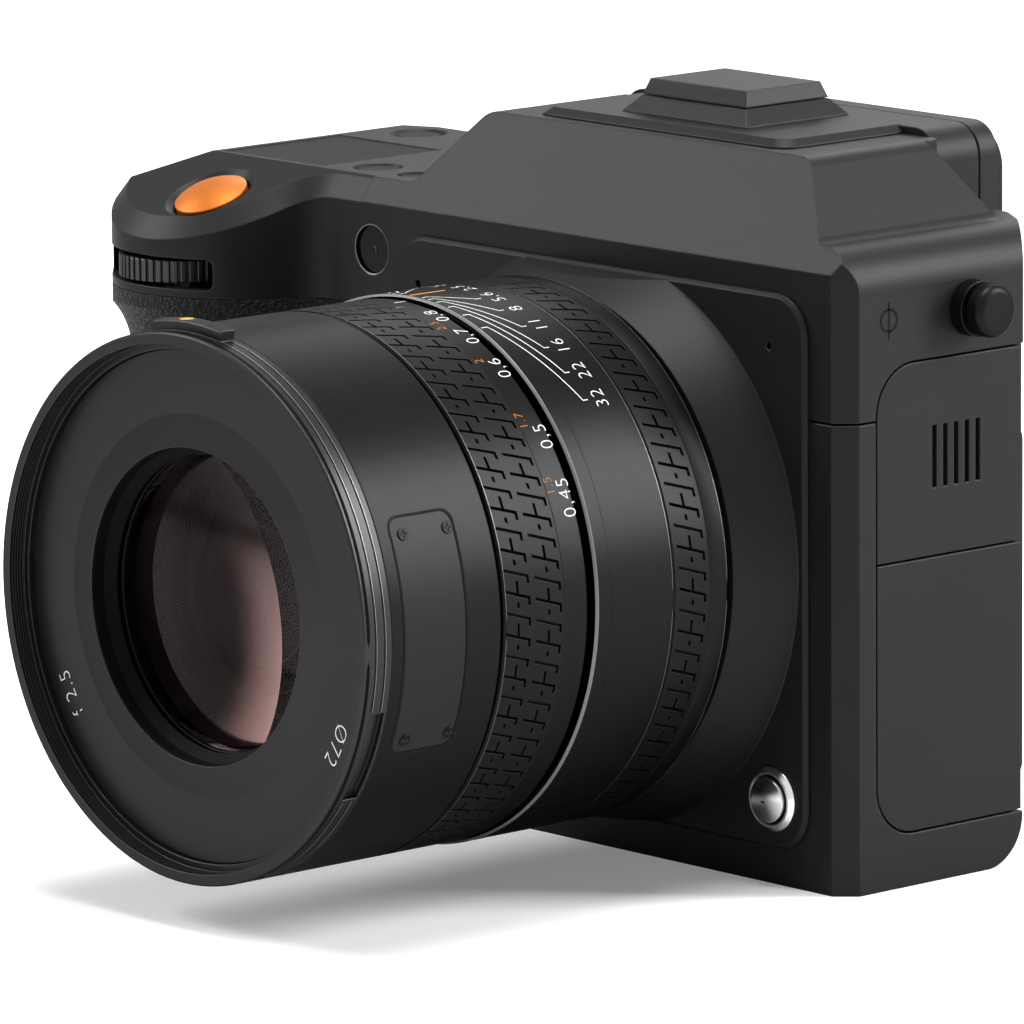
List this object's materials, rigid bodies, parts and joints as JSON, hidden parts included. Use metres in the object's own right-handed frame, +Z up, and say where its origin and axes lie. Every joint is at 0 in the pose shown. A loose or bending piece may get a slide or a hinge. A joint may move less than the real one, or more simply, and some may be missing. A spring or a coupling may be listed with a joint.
{
  "type": "medium format digital camera",
  "caption": "Mirrorless medium format camera with a deep grip, finder hump, tilting rear display, card door and a bayonet lens with turning focus and control rings.",
  "frame": {"origin": "mouth of the tripod socket, on the base under the lens axis", "axes": "+Z up, -Y is the way the lens looks, +X towards the card door side"},
  "size_m": [0.159, 0.1342, 0.1058],
  "materials": {
    "graphite_metal": "matt, fine grain",
    "black_plate": "satin black",
    "grip_rubber": "grained",
    "bright_metal": "polished",
    "screw_steel": "satin",
    "orange_metal": "satin",
    "black_control": "satin black",
    "black_plastic": "matt",
    "window_glass": "gloss",
    "lens_glass": "coated",
    "sensor_stack": "coated glass on a metal tray",
    "board_stack": "board and heat plate"
  },
  "bodies": {
    "camera_body": {"chassis": "graphite_metal", "top_cover": "graphite_metal", "base_plate": "graphite_metal", "base_screws": "screw_steel", "tripod_bush": "bright_metal", "grip_core": "graphite_metal", "grip_rubber": "grip_rubber", "front_plate": "black_plate", "mount_ring": "bright_metal", "mount_screws": "screw_steel", "release_bezel": "bright_metal", "af_lamp_window": "window_glass", "speaker_panel": "graphite_metal", "card_slot_unit": "black_plastic", "shoe_plate": "graphite_metal", "hot_shoe": "graphite_metal", "evf_housing": "graphite_metal", "eyecup": "grip_rubber", "eyepiece_lens": "lens_glass", "rear_shell": "graphite_metal", "display_hinge_bracket": "black_control", "dial_shafts": "screw_steel", "top_display_window": "window_glass", "sensor": "sensor_stack", "circuit_board": "board_stack", "strap_lugs": "black_plate"},
    "lens": {"lens_tube": "black_plate", "lens_bayonet": "bright_metal", "scale_ring": "black_plate", "front_barrel": "black_plate", "nameplate": "black_plate", "front_rim": "black_plate", "name_ring": "black_plate", "front_glass": "lens_glass", "rear_glass": "lens_glass"},
    "shutter_release": {"shutter_button": "orange_metal"},
    "top_button_rear_body": {"top_button_rear": "black_control"},
    "top_button_middle_body": {"top_button_middle": "black_control"},
    "top_button_front_body": {"top_button_front": "black_control"},
    "rear_button_1_body": {"rear_button_1": "black_control"},
    "rear_button_2_body": {"rear_button_2": "black_control"},
    "rear_button_3_body": {"rear_button_3": "black_control"},
    "rear_button_4_body": {"rear_button_4": "black_control"},
    "lens_release": {"release_button": "bright_metal"},
    "front_thumb_dial": {"front_dial": "black_control"},
    "rear_thumb_dial": {"rear_dial": "black_control"},
    "side_door": {"card_door": "graphite_metal"},
    "tilting_display": {"rear_display": "black_control", "display_glass": "window_glass"},
    "battery_pack": {"battery": "black_plastic"},
    "battery_latch": {"battery_lever": "black_plastic"},
    "shoe_protector": {"shoe_cover": "graphite_metal"},
    "focus_carrier": {"focus_sleeve": "screw_steel"},
    "focus_collar": {"focus_ring": "black_plate"},
    "control_collar": {"control_ring": "black_plate"},
    "blade_1": {"shutter_blade_1": "screw_steel"},
    "blade_2": {"shutter_blade_2": "screw_steel"},
    "blade_3": {"shutter_blade_3": "screw_steel"},
    "blade_4": {"shutter_blade_4": "screw_steel"},
    "blade_5": {"shutter_blade_5": "screw_steel"}
  },
  "joints": [
    {"name": "shutter_press", "type": "slide", "parent": "camera_body", "child": "shutter_release", "axis": [0, 0.3907, -0.9205], "range_m": [0, 0.0006], "stiffness_N_per_m": 500, "springref_m": -0.0006},
    {"name": "top_button_rear_press", "type": "slide", "parent": "camera_body", "child": "top_button_rear_body", "axis": [0, 0, -1], "range_m": [0, 0.0005], "stiffness_N_per_m": 500, "springref_m": -0.0006},
    {"name": "top_button_middle_press", "type": "slide", "parent": "camera_body", "child": "top_button_middle_body", "axis": [0, 0, -1], "range_m": [0, 0.0005], "stiffness_N_per_m": 500, "springref_m": -0.0006},
    {"name": "top_button_front_press", "type": "slide", "parent": "camera_body", "child": "top_button_front_body", "axis": [0, 0, -1], "range_m": [0, 0.0005], "stiffness_N_per_m": 500, "springref_m": -0.0006},
    {"name": "rear_button_1_press", "type": "slide", "parent": "camera_body", "child": "rear_button_1_body", "axis": [0, -1, 0], "range_m": [0, 0.0006], "stiffness_N_per_m": 500, "springref_m": -0.0006},
    {"name": "rear_button_2_press", "type": "slide", "parent": "camera_body", "child": "rear_button_2_body", "axis": [0, -1, 0], "range_m": [0, 0.0006], "stiffness_N_per_m": 500, "springref_m": -0.0006},
    {"name": "rear_button_3_press", "type": "slide", "parent": "camera_body", "child": "rear_button_3_body", "axis": [0, -1, 0], "range_m": [0, 0.0006], "stiffness_N_per_m": 500, "springref_m": -0.0006},
    {"name": "rear_button_4_press", "type": "slide", "parent": "camera_body", "child": "rear_button_4_body", "axis": [0, -1, 0], "range_m": [0, 0.0006], "stiffness_N_per_m": 500, "springref_m": -0.0006},
    {"name": "lens_release_press", "type": "slide", "parent": "camera_body", "child": "lens_release", "axis": [0, 1, 0], "range_m": [0, 0.001], "stiffness_N_per_m": 500, "springref_m": -0.0006},
    {"name": "front_dial_turn", "type": "hinge", "parent": "camera_body", "child": "front_thumb_dial", "pos_m": [-0.0815, -0.0236, 0.0745], "axis": [0, 0, 1], "continuous": true},
    {"name": "rear_dial_turn", "type": "hinge", "parent": "camera_body", "child": "rear_thumb_dial", "pos_m": [-0.084, 0.019, 0.0745], "axis": [0, 0, 1], "continuous": true},
    {"name": "door_open", "type": "hinge", "parent": "camera_body", "child": "side_door", "pos_m": [0.048, 0.0154, 0.026], "axis": [0, 0, 1], "range_deg": [0, 95]},
    {"name": "display_tilt", "type": "hinge", "parent": "camera_body", "child": "tilting_display", "pos_m": [0, 0.0225, 0.0624], "axis": [1, 0, 0], "range_deg": [0, 70]},
    {"name": "battery_slide", "type": "slide", "parent": "camera_body", "child": "battery_pack", "axis": [0, 0, -1], "range_m": [0, 0.066]},
    {"name": "battery_lever_turn", "type": "hinge", "parent": "camera_body", "child": "battery_latch", "pos_m": [-0.059, 0.003, 0.001], "axis": [0, 0, 1], "range_deg": [0, 90]},
    {"name": "shoe_cover_slide", "type": "slide", "parent": "camera_body", "child": "shoe_protector", "axis": [0, 1, 0], "range_m": [0, 0.02]},
    {"name": "lens_twist", "type": "hinge", "parent": "camera_body", "child": "lens", "pos_m": [0, -0.0268, 0.04406], "axis": [0, 1, 0], "range_deg": [0, 60]},
    {"name": "focus_clutch_slide", "type": "slide", "parent": "lens", "child": "focus_carrier", "axis": [0, 1, 0], "range_m": [0, 0.0024]},
    {"name": "focus_turn", "type": "hinge", "parent": "focus_carrier", "child": "focus_collar", "pos_m": [0, -0.062, 0.04406], "axis": [0, 1, 0], "range_deg": [-60, 60]},
    {"name": "control_turn", "type": "hinge", "parent": "lens", "child": "control_collar", "pos_m": [0, -0.033, 0.04406], "axis": [0, 1, 0], "continuous": true},
    {"name": "blade_1_swing", "type": "hinge", "parent": "lens", "child": "blade_1", "pos_m": [0, -0.054, 0.06866], "axis": [0, 1, 0], "range_deg": [0, 24]},
    {"name": "blade_2_swing", "type": "hinge", "parent": "lens", "child": "blade_2", "pos_m": [0.0234, -0.054, 0.05166], "axis": [0, 1, 0], "range_deg": [0, 24]},
    {"name": "blade_3_swing", "type": "hinge", "parent": "lens", "child": "blade_3", "pos_m": [0.01446, -0.054, 0.02416], "axis": [0, 1, 0], "range_deg": [0, 24]},
    {"name": "blade_4_swing", "type": "hinge", "parent": "lens", "child": "blade_4", "pos_m": [-0.01446, -0.054, 0.02416], "axis": [0, 1, 0], "range_deg": [0, 24]},
    {"name": "blade_5_swing", "type": "hinge", "parent": "lens", "child": "blade_5", "pos_m": [-0.0234, -0.054, 0.05166], "axis": [0, 1, 0], "range_deg": [0, 24]}
  ],
  "couplings": [
    {"joint": "blade_2_swing", "follows": "blade_1_swing", "ratio": 1},
    {"joint": "blade_3_swing", "follows": "blade_1_swing", "ratio": 1},
    {"joint": "blade_4_swing", "follows": "blade_1_swing", "ratio": 1},
    {"joint": "blade_5_swing", "follows": "blade_1_swing", "ratio": 1}
  ]
}
